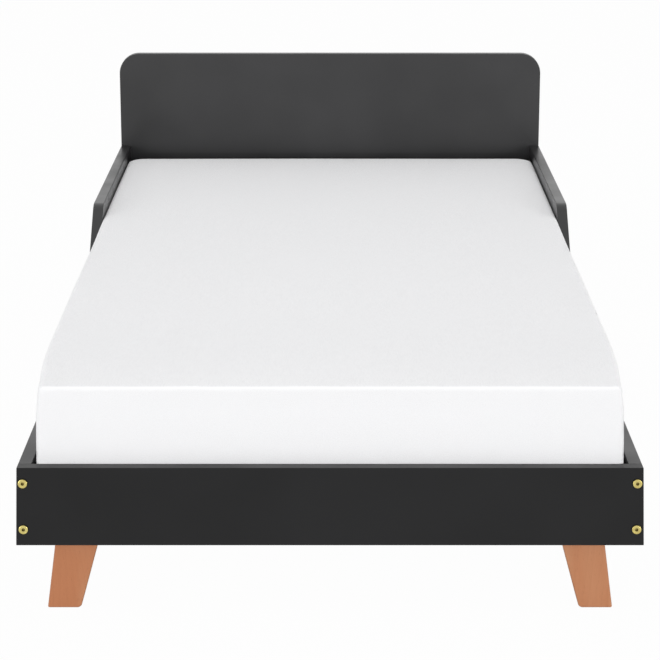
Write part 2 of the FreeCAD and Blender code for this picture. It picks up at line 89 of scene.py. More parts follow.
def mathNode(tree, operation, *values, clamp=False):
    return addNode(tree, "Math", dict(enumerate(values)), operation=operation, use_clamp=clamp).outputs[0]


def vectorNode(tree, operation, *values):
    node = addNode(tree, "VectorMath", dict(enumerate(values)), operation=operation)
    return node.outputs["Value" if operation == "DOT_PRODUCT" else "Vector"]


def mixColours(tree, share, first, second):
    # the Mix node's colours are its sockets 6 and 7, and its output 2
    return addNode(tree, "Mix", {0: share, 6: first, 7: second}, data_type="RGBA").outputs[2]


def rescale(tree, value, low, high, newLow=0.0, newHigh=1.0):
    inputs = {"Value": value, "From Min": low, "From Max": high, "To Min": newLow, "To Max": newHigh}
    return addNode(tree, "MapRange", inputs).outputs["Result"]


def noiseNode(tree, vector, scale, detail=3.0, roughness=0.5, distortion=0.0):
    inputs = {
        "Vector": vector, "Scale": scale, "Detail": detail,
        "Roughness": roughness, "Distortion": distortion,
    }
    return addNode(tree, "TexNoise", inputs).outputs["Fac"]


def newGroup(name, inputs, outputs):
    group = bpy.data.node_groups.new(name, "ShaderNodeTree")
    for socketName, value in inputs.items():
        kind = "NodeSocketVector" if value is None else "NodeSocketFloat"
        socket = group.interface.new_socket(socketName, in_out="INPUT", socket_type=kind)
        if value is not None:
            socket.default_value = value
    for socketName in outputs:
        group.interface.new_socket(socketName, in_out="OUTPUT", socket_type="NodeSocketFloat")
    start = group.nodes.new("NodeGroupInput")
    end = group.nodes.new("NodeGroupOutput")
    return group, start.outputs, end.inputs


def useGroup(tree, group, **values):
    node = tree.nodes.new("ShaderNodeGroup")
    node.node_tree = group
    layNode(tree, node)
    for name, value in values.items():
        feed(tree, node.inputs[name.replace("_", " ")], value)
    return node.outputs


def newMaterial(name, **settings):
    material = bpy.data.materials.new(name)
    material.use_nodes = True
    tree = material.node_tree
    shader = tree.nodes["Principled BSDF"]
    for socketName, value in settings.items():
        feed(tree, shader.inputs[socketName.replace("_", " ")], value)
    place = addNode(tree, "TexCoord").outputs["Object"]
    return material, tree, shader.inputs, place


def addBump(tree, shader, height, distance):
    bump = addNode(tree, "Bump", {"Height": height, "Distance": distance, "Strength": 1.0})
    feed(tree, shader["Normal"], bump.outputs["Normal"])


def stretch(tree, vector, along):
    # a pattern is drawn out along Z where along is under 1
    return addNode(tree, "Mapping", {"Vector": vector, "Scale": (1.0, 1.0, along)}).outputs["Vector"]


def timesColour(colour, factor, lift=0.0):
    return tuple(min(1, part * factor + lift) for part in colour[:3]) + (1,)


def times(tree, value, factor):
    return mathNode(tree, "MULTIPLY", value, factor)


noiseSpan = (0.3, 0.7)  # a noise texture seldom leaves this range


# Effects that several finishes share
# A noise is given as its scale, detail, roughness and distortion, as far as noiseNode's own don't serve

wearEffect = {"samples": 6, "bend": (0.02, 0.22), "patchNoise": (160.0, 4.0), "patchSpan": (0.35, 0.65)}


def makeEdgeWear():
    # 1 on sharp edges, fading over Width, broken up by a fine noise
    look = wearEffect
    inputs = {"Vector": None, "Width": 0.002, "Patchiness": 0.5}
    tree, start, end = newGroup("edgeWear", inputs, ["Mask"])
    rounded = addNode(tree, "Bevel", {"Radius": start["Width"]}, samples=look["samples"]).outputs["Normal"]
    plain = addNode(tree, "NewGeometry").outputs["Normal"]
    bend = mathNode(tree, "SUBTRACT", 1.0, vectorNode(tree, "DOT_PRODUCT", rounded, plain))
    edge = rescale(tree, bend, *look["bend"])
    patches = rescale(tree, noiseNode(tree, start["Vector"], *look["patchNoise"]), *look["patchSpan"])
    kept = mathNode(tree, "MULTIPLY", start["Patchiness"], mathNode(tree, "SUBTRACT", 1.0, patches))
    feed(tree, end["Mask"], mathNode(tree, "MULTIPLY", edge, mathNode(tree, "SUBTRACT", 1.0, kept)))
    return tree


skinEffect = {
    "toneNoise": (4.5, 2.0, 0.45), "glossNoise": (14.0, 2.0, 0.45),
    "coarseDetail": 1.0, "fineDetail": 2.0, "finer": 3.1, "fineShare": 0.3,
}


def makePaintSkin():
    # slow tone shifts of a sprayed coat, its fine orange peel and its uneven gloss
    look = skinEffect
    inputs = {"Vector": None, "Peel Scale": 900.0}
    tree, start, end = newGroup("paintSkin", inputs, ["Tone", "Peel", "Gloss"])
    feed(tree, end["Tone"], noiseNode(tree, start["Vector"], *look["toneNoise"]))
    coarse = noiseNode(tree, start["Vector"], start["Peel Scale"], look["coarseDetail"])
    finerScale = times(tree, start["Peel Scale"], look["finer"])
    fine = noiseNode(tree, start["Vector"], finerScale, look["fineDetail"])
    feed(tree, end["Peel"], mathNode(tree, "MULTIPLY_ADD", fine, look["fineShare"], coarse))
    feed(tree, end["Gloss"], noiseNode(tree, start["Vector"], *look["glossNoise"]))
    return tree


grainEffect = {
    "slowStretch": 0.22, "swayNoise": (16.0, 2.0), "swayRings": 9.0, "slant": 0.55, "ringSharpness": 2.6,
    "poreStretch": 0.045, "poreDetail": 3.0, "poreRoughness": 0.65,
    "fleckStretch": 0.2, "fleckScale": 420.0, "fleckSpan": (0.22, 0.08),
    "patchNoise": (26.0, 3.0, 0.55, 0.6),
}


def makeWoodGrain():
    # the grain runs along Z of the vector; ring width and pore size in metres
    look = grainEffect
    inputs = {"Vector": None, "Ring Width": 0.006, "Pore Size": 0.0006}
    tree, start, end = newGroup("woodGrain", inputs, ["Rings", "Pores", "Flecks", "Patches"])
    slow = stretch(tree, start["Vector"], look["slowStretch"])
    sway = noiseNode(tree, slow, *look["swayNoise"])
    split = addNode(tree, "SeparateXYZ", {"Vector": start["Vector"]}).outputs
    across = mathNode(tree, "MULTIPLY_ADD", split["Y"], look["slant"], split["X"])
    ringCount = mathNode(tree, "DIVIDE", across, start["Ring Width"])
    phase = mathNode(tree, "MULTIPLY_ADD", sway, look["swayRings"], ringCount)
    saw = mathNode(tree, "FRACT", phase)
    feed(tree, end["Rings"], mathNode(tree, "POWER", saw, look["ringSharpness"]))
    finer = mathNode(tree, "DIVIDE", 1.0, start["Pore Size"])
    long = stretch(tree, start["Vector"], look["poreStretch"])
    feed(tree, end["Pores"], noiseNode(tree, long, finer, look["poreDetail"], look["poreRoughness"]))
    dashes = stretch(tree, start["Vector"], look["fleckStretch"])
    cells = addNode(tree, "TexVoronoi", {"Vector": dashes, "Scale": look["fleckScale"]}).outputs["Distance"]
    feed(tree, end["Flecks"], rescale(tree, cells, *look["fleckSpan"]))
    feed(tree, end["Patches"], noiseNode(tree, slow, *look["patchNoise"]))
    return tree


slubLook = {"stretch": (1.0, 0.12, 1.0), "noise": (700.0, 2.0)}


def makeWeave():
    # crossing threads, one Pitch apart, on whichever plane the surface faces
    tree, start, end = newGroup("weave", {"Vector": None, "Pitch": 0.0004}, ["Height", "Slub"])
    turns = mathNode(tree, "DIVIDE", math.pi, start["Pitch"])
    scaled = addNode(tree, "VectorMath", {0: start["Vector"], "Scale": turns}, operation="SCALE").outputs[0]
    waves = vectorNode(tree, "SINE", scaled)
    wave = addNode(tree, "SeparateXYZ", {"Vector": waves}).outputs
    ridge = addNode(tree, "SeparateXYZ", {"Vector": vectorNode(tree, "ABSOLUTE", waves)}).outputs
    planes = addNode(tree, "CombineXYZ")
    for facing, first, second in (("X", "Y", "Z"), ("Y", "X", "Z"), ("Z", "X", "Y")):
        over = mathNode(tree, "GREATER_THAN", mathNode(tree, "MULTIPLY", wave[first], wave[second]), 0.0)
        thread = addNode(tree, "Mix", {0: over, 2: ridge[first], 3: ridge[second]}).outputs[0]
        feed(tree, planes.inputs[facing], thread)
    normal = addNode(tree, "NewGeometry").outputs["Normal"]
    facing = vectorNode(tree, "MULTIPLY", normal, normal)
    feed(tree, end["Height"], vectorNode(tree, "DOT_PRODUCT", planes.outputs[0], facing))
    slubs = addNode(tree, "Mapping", {"Vector": start["Vector"], "Scale": slubLook["stretch"]})
    feed(tree, end["Slub"], noiseNode(tree, slubs.outputs["Vector"], *slubLook["noise"]))
    return tree


edgeWear = makeEdgeWear()
paintSkin = makePaintSkin()
woodGrain = makeWoodGrain()
weave = makeWeave()
print("shared effects made")


# Finishes

litAndShadedLacquers = {
    # name: colour, specular level, roughness. These are lit and shaded copies of one charcoal lacquer: each
    # board's colour and specular level carry painted light and shade for how light falls on that board, the
    # headboard's lightest and the foot board's darkest
    "headboardLacquerLitCopy": (tint(35, 35, 36), 0.46, 0.37),
    "footBoardLacquerShadedCopy": (tint(19, 19, 20), 0.24, 0.35),
    "railLacquerShadedCopy": (tint(26, 26, 27), 0.45, 0.35),
    "guardLacquerShadedCopy": (tint(24, 24, 25), 0.58, 0.33),
}
lacquerCoat = {
    "lighter": 1.28, "darker": 0.84, "rubbed": 2.3, "rubbedLift": 0.012, "wearShare": 0.55,
    "wearWidth": 0.0022, "wearPatchiness": 0.6, "smoother": 0.05, "rougher": 0.06, "peel": 0.000015,
}


def makeLacquer(name):
    colour, specular, roughness = litAndShadedLacquers[name]
    coat = lacquerCoat
    material, tree, shader, place = newMaterial(name, Specular_IOR_Level=specular)
    skin = useGroup(tree, paintSkin, Vector=place)
    wear = {"Width": coat["wearWidth"], "Patchiness": coat["wearPatchiness"]}
    worn = useGroup(tree, edgeWear, Vector=place, **wear)["Mask"]
    lighter = timesColour(colour, coat["lighter"])
    darker = timesColour(colour, coat["darker"])
    rubbed = timesColour(colour, coat["rubbed"], coat["rubbedLift"])
    toned = mixColours(tree, rescale(tree, skin["Tone"], *noiseSpan), darker, lighter)
    feed(tree, shader["Base Color"], mixColours(tree, times(tree, worn, coat["wearShare"]), toned, rubbed))
    glossSpan = (roughness - coat["smoother"], roughness + coat["rougher"])
    feed(tree, shader["Roughness"], rescale(tree, skin["Gloss"], *noiseSpan, *glossSpan))
    addBump(tree, shader, skin["Peel"], coat["peel"])
    return material


beechLook = {
    "heart": tint(180, 117, 79), "pale": tint(189, 133, 96), "pore": tint(158, 98, 64),
    "ringWidth": 0.0085, "poreSize": 0.0007, "poreHeight": 0.00009, "specular": 0.4,
    "roughness": (0.39, 0.58), "patchSpan": (0.42, 0.68), "poreSpan": (0.52, 0.78),
    "ringShare": 0.12, "poreShare": 0.3, "fleckShare": 0.35,
    "wearShare": 0.3, "wearWidth": 0.002, "wearPatchiness": 0.4,
}
poreGloss = (0.3, 0.8)  # wood is roughest where its pores reach the second value


def makeBeech():
    look = beechLook
    pore = look["pore"]
    material, tree, shader, place = newMaterial("stainedBeech", Specular_IOR_Level=look["specular"])
    grain = {"Ring_Width": look["ringWidth"], "Pore_Size": look["poreSize"]}
    wood = useGroup(tree, woodGrain, Vector=place, **grain)
    patches = rescale(tree, wood["Patches"], *look["patchSpan"])
    patched = mixColours(tree, patches, look["heart"], look["pale"])
    ringed = mixColours(tree, times(tree, wood["Rings"], look["ringShare"]), patched, pore)
    pores = rescale(tree, wood["Pores"], *look["poreSpan"], 0.0, look["poreShare"])
    pored = mixColours(tree, pores, ringed, pore)
    flecked = mixColours(tree, times(tree, wood["Flecks"], look["fleckShare"]), pored, pore)
    wear = {"Width": look["wearWidth"], "Patchiness": look["wearPatchiness"]}
    worn = useGroup(tree, edgeWear, Vector=place, **wear)["Mask"]
    feed(tree, shader["Base Color"], mixColours(tree, times(tree, worn, look["wearShare"]), flecked, pore))
    feed(tree, shader["Roughness"], rescale(tree, wood["Pores"], *poreGloss, *look["roughness"]))
    addBump(tree, shader, wood["Pores"], look["poreHeight"])
    return material


paleWoodLooks = {
    # name: how the grain's Z is turned to the way the wood runs, light colour, dark colour, ring width
    "rawPine": ((0, math.pi / 2, 0), tint(228, 196, 148), tint(196, 152, 98), 0.007),
    "ledgerPine": ((math.pi / 2, 0, 0), tint(224, 190, 142), tint(190, 146, 94), 0.006),
    "dowelBeech": ((math.pi / 2, 0, 0), tint(222, 186, 144), tint(196, 150, 108), 0.004),
}
paleWood = {
    "specular": 0.35, "roughness": (0.56, 0.74), "rings": 0.62, "patches": 0.35, "patchSpan": (0.4, 0.75),
    "pores": 0.3, "poreSpan": (0.55, 0.8), "poreHeight": 0.00012,
}


def makePaleWood(name):
    turn, light, dark, ringWidth = paleWoodLooks[name]
    look = paleWood
    material, tree, shader, place = newMaterial(name, Specular_IOR_Level=look["specular"])
    turned = addNode(tree, "Mapping", {"Vector": place, "Rotation": turn}).outputs["Vector"]
    wood = useGroup(tree, woodGrain, Vector=turned, Ring_Width=ringWidth)
    ringed = mixColours(tree, times(tree, wood["Rings"], look["rings"]), light, dark)
    patches = rescale(tree, wood["Patches"], *look["patchSpan"], 0.0, look["patches"])
    patched = mixColours(tree, patches, ringed, dark)
    pores = rescale(tree, wood["Pores"], *look["poreSpan"], 0.0, look["pores"])
    feed(tree, shader["Base Color"], mixColours(tree, pores, patched, dark))
    feed(tree, shader["Roughness"], rescale(tree, wood["Pores"], *poreGloss, *look["roughness"]))
    addBump(tree, shader, wood["Pores"], look["poreHeight"])
    return material


zincLooks = {
    # name: colour, colour of its darker clouds, roughness
    "yellowZinc": (tint(208, 196, 124), tint(180, 160, 94), 0.34),
    "brightZinc": (tint(196, 198, 202), tint(160, 164, 170), 0.36),
}
zincCoat = {
    "cloudNoise": (240.0, 4.0, 0.6, 0.8), "cloudSpan": (0.35, 0.7), "bright": 1.3, "brightLift": 0.04,
    "wearShare": 0.6, "wearWidth": 0.0006, "wearPatchiness": 0.3, "smoother": 0.06, "rougher": 0.1,
    "fineNoise": (2600.0, 2.0), "fineHeight": 0.00002,
}
# painted shade for the bolts' hex sockets: past the heads' face along Y the zinc is coloured dark
boltSocketShade = {"face": 0.7321, "fade": 0.0004, "dark": 0.4}  # face is along Y, from the bed's middle


def makeZinc(name):
    colour, shadowColour, roughness = zincLooks[name]
    coat = zincCoat
    material, tree, shader, place = newMaterial(name, Metallic=1.0)
    clouds = noiseNode(tree, place, *coat["cloudNoise"])
    wear = {"Width": coat["wearWidth"], "Patchiness": coat["wearPatchiness"]}
    worn = useGroup(tree, edgeWear, Vector=place, **wear)["Mask"]
    bright = timesColour(colour, coat["bright"], coat["brightLift"])
    clouded = mixColours(tree, rescale(tree, clouds, *coat["cloudSpan"]), colour, shadowColour)
    finish = mixColours(tree, times(tree, worn, coat["wearShare"]), clouded, bright)
    if name == "yellowZinc":
        # painted shade: the hex sockets of the connector bolts are coloured darker inside, where shade
        # falls in the recess
        depth = mathNode(tree, "ABSOLUTE", addNode(tree, "SeparateXYZ", {"Vector": place}).outputs["Y"])
        inside = rescale(tree, depth, boltSocketShade["face"], boltSocketShade["face"] - boltSocketShade["fade"])
        finish = mixColours(tree, inside, finish, timesColour(shadowColour, boltSocketShade["dark"]))
    feed(tree, shader["Base Color"], finish)
    glossSpan = (roughness - coat["smoother"], roughness + coat["rougher"])
    feed(tree, shader["Roughness"], rescale(tree, clouds, *noiseSpan, *glossSpan))
    addBump(tree, shader, noiseNode(tree, place, *coat["fineNoise"]), coat["fineHeight"])
    return material


clothLooks = {
    # name: colour, colour of the painted shade in the weave's valleys, pitch, height, roughness, sheen
    "whiteCotton": (tint(246, 246, 247), tint(226, 226, 228), 0.00042, 0.00006, 0.86, 0.05),
    "coverKnit": (tint(238, 237, 232), tint(206, 204, 198), 0.0014, 0.0003, 0.9, 0.12),
    "blackWebbing": (tint(34, 34, 35), tint(14, 14, 15), 0.0013, 0.0003, 0.78, 0.1),
    "elasticBand": (tint(240, 240, 238), tint(196, 196, 194), 0.0009, 0.0002, 0.8, 0.05),
}
clothWeave = {
    "specular": 0.12, "sheenRoughness": 0.5, "uneven": 0.05, "valleyShadeMask": (0.65, 0.1), "slub": (0.4, 0.7),
    "slubShare": 0.3, "valleyShadeShare": 0.7,
}


def makeCloth(name):
    colour, valley, pitch, height, roughness, sheen = clothLooks[name]
    look = clothWeave
    gloss = {"Specular_IOR_Level": look["specular"], "Sheen_Roughness": look["sheenRoughness"]}
    material, tree, shader, place = newMaterial(name, Sheen_Weight=sheen, **gloss)
    threads = useGroup(tree, weave, Vector=place, Pitch=pitch)
    # painted shade: the weave's valleys are coloured darker, where shade falls between the threads; the
    # slubs add the yarn's own uneven tone to the same mix
    valleyShadeMask = rescale(tree, threads["Height"], *look["valleyShadeMask"])
    slub = rescale(tree, threads["Slub"], *look["slub"])
    slubby = mathNode(tree, "MULTIPLY_ADD", slub, look["slubShare"], valleyShadeMask)
    share = mathNode(tree, "MULTIPLY", slubby, look["valleyShadeShare"], clamp=True)
    feed(tree, shader["Base Color"], mixColours(tree, share, colour, valley))
    glossSpan = (roughness - look["uneven"], roughness + look["uneven"])
    feed(tree, shader["Roughness"], rescale(tree, threads["Slub"], *noiseSpan, *glossSpan))
    addBump(tree, shader, threads["Height"], height)
    return material


feltLook = {
    "dark": tint(72, 52, 38), "light": tint(120, 92, 70), "noise": (1600.0, 5.0, 0.75),
    "span": (0.35, 0.65), "specular": 0.1, "sheen": 0.3, "roughness": (0.88, 1.0), "height": 0.0006,
}


def makeFelt():
    look = feltLook
    gloss = {"Specular_IOR_Level": look["specular"], "Sheen_Weight": look["sheen"]}
    material, tree, shader, place = newMaterial("brownFelt", **gloss)
    fuzz = noiseNode(tree, place, *look["noise"])
    fibres = rescale(tree, fuzz, *look["span"])
    feed(tree, shader["Base Color"], mixColours(tree, fibres, look["dark"], look["light"]))
    feed(tree, shader["Roughness"], rescale(tree, fuzz, *noiseSpan, *look["roughness"]))
    addBump(tree, shader, fuzz, look["height"])
    return material


finishes = {name: makeLacquer(name) for name in litAndShadedLacquers}
finishes["stainedBeech"] = makeBeech()
finishes.update({name: makePaleWood(name) for name in paleWoodLooks})
finishes.update({name: makeZinc(name) for name in zincLooks})
finishes.update({name: makeCloth(name) for name in clothLooks})
finishes["brownFelt"] = makeFelt()

nodeFinishes = {
    # part of a node's name: its finish; the first that fits counts
    "headboard": "headboardLacquerLitCopy", "foot_board": "footBoardLacquerShadedCopy",
    "side_rail": "railLacquerShadedCopy", "guard_rail": "guardLacquerShadedCopy",
    "slat_ledger": "ledgerPine", "slat_strap": "blackWebbing", "slat_screws": "brightZinc",
    "slat_": "rawPine",
    "leg_bracket": "brightZinc", "leg_glides": "brownFelt", "_leg": "stainedBeech",
    "dowels": "dowelBeech", "foot_bolts": "yellowZinc", "head_bolts": "yellowZinc",
    "guard_bolts": "yellowZinc", "fitted_sheet": "whiteCotton", "sheet_elastic": "elasticBand",
    "mattress": "coverKnit", "": "brightZinc",
}

for name, node in nodes.items():
    finish = finishes[next(kind for part, kind in nodeFinishes.items() if part in name)]
    if not node.material_slots:
        node.data.materials.append(finish)
    for slot in node.material_slots:
        slot.material = finish
print("finishes given to the CAD nodes")


# Mattress, fitted sheet and its elastic

mattressSize = {
    "half": 0.3525, "foot": -0.7137, "head": 0.6863, "bottom": 0.1494, "top": 0.2825,
    "cornerLength": 0.038, "cornerTuck": 0.033,
}
middle = (mattressSize["foot"] + mattressSize["head"]) / 2
halfLength = (mattressSize["head"] - mattressSize["foot"]) / 2


def editObject(piece):
    pickObject(piece)
    bpy.ops.object.mode_set(mode="EDIT")
    return bmesh.from_edit_mesh(piece.data)


def applyModifier(piece, kind, **settings):
    pickObject(piece)
    modifier = piece.modifiers.new(kind.lower(), kind)
    for name, value in settings.items():
        setattr(modifier, name, value)
    bpy.ops.object.modifier_apply(modifier=modifier.name)


def smoothFaces(piece, degrees=180):
    pickObject(piece)
    bpy.ops.object.shade_smooth_by_angle(angle=math.radians(degrees))


def mergedCopy(nodeName, newName, within=0.00002):
    # the CAD solid's own form, as one joined skin
    piece = bpy.data.objects.new(newName, nodes[nodeName].data.copy())
    bpy.context.collection.objects.link(piece)
    editObject(piece)
    bpy.ops.mesh.select_all(action="SELECT")
    bpy.ops.mesh.remove_doubles(threshold=within)
    bpy.ops.mesh.normals_make_consistent(inside=False)
    deselectAll()
    return piece


def dropPiece(piece):
    pickObject(piece)
    bpy.ops.object.delete()


def borderAt(place):
    # how far a point of the underside is from the mattress's edge
    return min(mattressSize["half"] - abs(place.x), halfLength - abs(place.y - middle))


def alongHem(place):
    # a distance that grows along the hem on all four sides
    return place.x - math.copysign(1, place.x * (place.y - middle)) * place.y


def puckerWave(distance, length):
    return 0.5 - 0.5 * math.cos(math.tau * distance / length)


def smoothStep(low, high, value):
    # 0 at low and 1 at high, also where low is the larger of the two
    share = max(0, min(1, (value - low) / (high - low)))
    return share * share * (3 - 2 * share)


footCorner = {"draw": 0.0019, "y": (-0.6, -0.69), "level": (0.094, 0.124), "x": (0.3, 0.345)}


def drawFootCorner(place):
    # the foot end's top corners are drawn in a little, sheet and pad alike
    level = smoothStep(*footCorner["level"], place.z - mattressSize["bottom"])
    share = smoothStep(*footCorner["y"], place.y) * smoothStep(*footCorner["x"], abs(place.x)) * level
    place.x -= math.copysign(footCorner["draw"] * share, place.x)


coreForm = mergedCopy("mattress_foam", "coreForm")
smoothFaces(coreForm, degrees=40)

padSetup = {
    "voxel": 0.0115, "skinOffset": 0.0003, "pressure": 4.0, "frames": 20, "swellCap": 0.0012,
    "channelGap": 0.1, "channelDepth": 0.0016, "channelWidth": 0.006, "flatNormal": 0.7,
    "hemLift": 0.0016, "sag": 0.0013, "bareFrom": (0.082, 0.112), "clothQuality": 5, "clothMass": 0.3,
}


def swell(piece):
    # the cloth swells under pressure, and no point moves further than the cap
    before = [point.co.copy() for point in piece.data.vertices]
    pickObject(piece)
    cloth = piece.modifiers.new("cloth", "CLOTH")
    cloth.settings.quality = padSetup["clothQuality"]
    cloth.settings.mass = padSetup["clothMass"]
    cloth.settings.use_pressure = True
    cloth.settings.uniform_pressure_force = padSetup["pressure"]
    cloth.settings.effector_weights.gravity = 0
    cloth.collision_settings.use_collision = False
    cloth.point_cache.frame_start = 1
    cloth.point_cache.frame_end = padSetup["frames"]
    for frameNumber in range(1, padSetup["frames"] + 1):
        bpy.context.scene.frame_set(frameNumber)
    bpy.ops.object.modifier_apply(modifier=cloth.name)
    bpy.context.scene.frame_set(1)
    for point, start in zip(piece.data.vertices, before):
        move = point.co - start
        if move.length > padSetup["swellCap"]:
            point.co = start + move.normalized() * padSetup["swellCap"]


def channel(place, normal):
    # sewn diamond channels on the top and the underside of the cover
    if abs(normal.z) < padSetup["flatNormal"]:
        return 0
    gap = padSetup["channelGap"]
    depth = 0
    for along in (place.x + place.y, place.x - place.y):
        away = abs((along / gap + 0.5) % 1 - 0.5) * gap / math.sqrt(2)
        depth = max(depth, math.exp(-(away / padSetup["channelWidth"]) ** 2))
    return depth * padSetup["channelDepth"]


def makeMattressPad():
    pad = coreForm.copy()
    pad.data = coreForm.data.copy()
    pad.name = "mattressPad"
    bpy.context.collection.objects.link(pad)
    pickObject(pad)
    pad.data.remesh_voxel_size = padSetup["voxel"]
    bpy.ops.object.voxel_remesh()
    offset = {"wrap_mode": "ABOVE_SURFACE", "offset": padSetup["skinOffset"]}
    applyModifier(pad, "SHRINKWRAP", target=coreForm, **offset)
    swell(pad)
    applyModifier(pad, "SUBSURF", levels=1, render_levels=1)
    normals = [point.normal.copy() for point in pad.data.vertices]
    for point, normal in zip(pad.data.vertices, normals):
        inside = channel(point.co, normal)
        if normal.z < -padSetup["flatNormal"]:
            # the underside lies on the slats, and is pressed up over the sheet's border
            bare = smoothStep(*padSetup["bareFrom"], borderAt(point.co))
            point.co.z += padSetup["hemLift"] * (1 - bare) - padSetup["sag"] * bare
            inside *= bare
        point.co -= normal * inside
        drawFootCorner(point.co)
    smoothFaces(pad)
    pad.data.materials.clear()
    pad.data.materials.append(finishes["coverKnit"])
    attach(pad, "mattress")
    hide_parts("mattress_cover", "mattress_foam")


makeMattressPad()
print("mattress pad made")

sheetSetup = {
    "columns": 46, "rows": 88, "edgeSteps": (0.0, 0.003, 0.008, 0.016),
    "drops": (0.003, 0.008, 0.016, 0.030, 0.050, 0.075, 0.100, 0.114, 0.122, 0.127, 0.1305),
    "turnIns": (0.003, 0.008, 0.016, 0.030, 0.050, 0.068, 0.085), "openingRadius": 0.06,
    "skinOffset": 0.0026, "thickness": 0.001, "flat": (1.135, 1.83), "flatArea": 1.87,
}
sheetFullness = {
    # each small departure from the mattress's form, and the places between which it comes or goes
    "ripple": 0.00035, "rippleScales": ((5.5, 0.6), (13, 0.4)), "rippleLevel": (0.05, 0.09),
    "sideX": (0.3, 0.345), "sideLevel": (0.07, 0.1),
    "foot": 0.0014, "footStart": (-0.68, -0.5), "footEnd": (0.2, 0),
    "guard": 0.0023, "guardStart": (0, 0.2), "guardEnd": (0.675, 0.65),
    "front": 0.0011, "frontStart": (0.03, 0.045), "frontEnd": (0.12, 0.08), "frontX": (0.35, 0.1),
    "gather": 0.0011, "gatherLength": 0.034, "gatherSway": 0.012, "gatherScale": 22,
    "gatherBorder": (0.02, 0.08), "facing": 0.5,
}
frontEdge = {
    "y": -0.7137, "z": 0.2797, "topSlope": 0.05, "coreRadius": 0.006, "radius": 0.0033, "reach": 0.018,
    "spare": 0.001, "plainHalf": 0.338, "cornerHalf": 0.349,
}
elasticSetup = {
    "width": 0.008, "thickness": 0.0009, "cuts": 2, "strips": 2,
    "puckerLength": 0.012, "puckerRise": 0.0002,
}


def spread(share, length, count):
    # short steps beside the edges and even ones between
    steps = sheetSetup["edgeSteps"]
    number = round(share * count)
    mirrored = min(number, count - number)
    if mirrored < len(steps):
        place = steps[mirrored]
    else:
        last = len(steps) - 1
        even = (length / 2 - steps[last]) / (count / 2 - last)
        place = steps[last] + (mirrored - last) * even
    return place if number == mirrored else length - place


def layOut(point):
    # from the even grid to the mattress's outline, with the head corners drawn in
    size = mattressSize
    width = 2 * size["half"]
    length = size["head"] - size["foot"]
    x = spread(point.x + 0.5, width, sheetSetup["columns"]) - size["half"]
    y = spread(point.y + 0.5, length, sheetSetup["rows"]) + size["foot"]
    turn = max(0, y - size["head"] + size["cornerLength"]) / size["cornerLength"]
    tuck = size["cornerTuck"] * (1 - math.sqrt(max(0, 1 - turn * turn)))
    return Vector((x * (1 - tuck / size["half"]), y, size["top"]))


def extrudeHem(move, scale=(1, 1, 1)):
    bpy.ops.mesh.extrude_region_move(TRANSFORM_OT_translate={"value": move})
    if scale != (1, 1, 1):
        bpy.ops.transform.resize(value=scale, center_override=(0, middle, mattressSize["bottom"]))


def roundOpening(edit, turnIn):
    # the selected hem's corners follow an arc
    radius = sheetSetup["openingRadius"] * turnIn / sheetSetup["turnIns"][-1]
    halfX = mattressSize["half"] - turnIn - radius
    halfY = halfLength - turnIn - radius
    for point in edit.verts:
        x, y = point.co.x, point.co.y - middle
        if point.select and abs(x) > halfX and abs(y) > halfY:
            centre = Vector((math.copysign(halfX, x), math.copysign(halfY, y)))
            arm = Vector((x, y)) - centre
            if arm.length > radius:
                arm = arm.normalized() * radius
            point.co.x = centre.x + arm.x
            point.co.y = centre.y + arm.y + middle


def tightenFront(place):
    # the sheet is drawn round the mattress's front top edge more tightly than the core is
    edge = frontEdge
    core = edge["coreRadius"]

    def tighter(depth):
        # the wide arc is drawn to the narrow one, and the cloth behind it is let out again
        share = 1 if depth < core else smoothStep(edge["reach"], core, depth)
        return depth - (core - edge["radius"]) * min(1, depth / core) * share

    def topAt(behind):
        return edge["z"] + edge["topSlope"] * max(0, behind - core)

    behind = place.y - edge["y"]
    below = topAt(behind) - place.z
    if not all(-edge["spare"] < depth < edge["reach"] for depth in (behind, below)):
        return place.copy()
    moved = Vector((place.x, edge["y"] + tighter(behind), 0))
    moved.z = topAt(moved.y - edge["y"]) - tighter(below)
    return place.lerp(moved, smoothStep(edge["cornerHalf"], edge["plainHalf"], abs(place.x)))


def sheetDetail(place, normal):
    # how far the cloth stands off its plain form
    full = sheetFullness
    move = Vector((0, 0, 0))
    level = place.z - mattressSize["bottom"]
    if normal.z > -full["facing"]:
        broad = sum(noise.noise(place * scale) * share for scale, share in full["rippleScales"])
        move += normal * full["ripple"] * broad * smoothStep(*full["rippleLevel"], level)
        # above the rails the sides swell, most between the guard rails
        sideways = smoothStep(*full["sideX"], abs(place.x)) * smoothStep(*full["sideLevel"], level)
        footPart = smoothStep(*full["footStart"], place.y) * smoothStep(*full["footEnd"], place.y)
        guardPart = smoothStep(*full["guardStart"], place.y) * smoothStep(*full["guardEnd"], place.y)
        along = full["foot"] * footPart + full["guard"] * guardPart
        move.x += math.copysign(sideways * along, place.x)
        if normal.y < -full["facing"]:
            belly = smoothStep(*full["frontStart"], level) * smoothStep(*full["frontEnd"], level)
            move.y -= full["front"] * belly * smoothStep(*full["frontX"], abs(place.x))
    else:
        sway = alongHem(place) + full["gatherSway"] * noise.noise(place * full["gatherScale"])
        wave = puckerWave(sway, full["gatherLength"])
        move.z += full["gather"] * wave * smoothStep(*full["gatherBorder"], borderAt(place))
    return move


